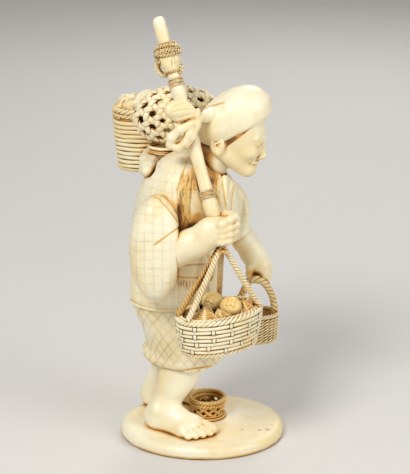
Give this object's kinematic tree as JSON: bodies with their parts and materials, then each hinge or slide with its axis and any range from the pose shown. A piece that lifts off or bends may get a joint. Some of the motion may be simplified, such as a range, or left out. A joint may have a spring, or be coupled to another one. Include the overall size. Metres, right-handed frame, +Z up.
{
  "type": "okimono carving",
  "caption": "Carved ivory figure of a stooping fruit pedlar with a shoulder pole, woven baskets and an oval base.",
  "frame": {"origin": "centre of the oval base's flat underside", "axes": "+Z up, +X the way the figure faces, +Y from the pictured side to the far side"},
  "size_m": [0.0884, 0.0999, 0.2169],
  "materials": {
    "ivory": "satin",
    "ivory_tinted": "satin",
    "ivory_stained": "satin",
    "ivory_peg": "matte"
  },
  "bodies": {
    "root": {"base": "ivory", "base_basket": "ivory_stained", "base_basket_peg": "ivory_peg", "basket_leaves": "ivory_tinted", "carrying_pole": "ivory", "collar": "ivory", "front_basket": "ivory", "front_basket_ropes": "ivory_tinted", "front_persimmon": "ivory", "front_rope_binding": "ivory_tinted", "globe_basket": "ivory", "hand_basket": "ivory", "hand_basket_handle": "ivory_tinted", "head": "ivory", "headcloth": "ivory", "headcloth_bow": "ivory", "jacket": "ivory", "left_foot_peg": "ivory_peg", "left_hand": "ivory", "left_leg": "ivory", "left_sleeve": "ivory", "left_wrist_peg": "ivory_peg", "load_pad": "ivory", "lower_robe": "ivory", "middle_rope_binding": "ivory_tinted", "neck": "ivory", "neck_peg": "ivory_peg", "rear_persimmon": "ivory", "rear_rope_knot": "ivory_tinted", "right_foot_peg": "ivory_peg", "right_hand": "ivory", "right_leg": "ivory", "right_sleeve": "ivory", "right_wrist_peg": "ivory_peg", "sash": "ivory", "tub_basket": "ivory", "tub_load": "ivory_tinted", "tub_peg": "ivory_peg", "vest": "ivory_tinted", "waist_peg": "ivory_peg"}
  },
  "joints": []
}
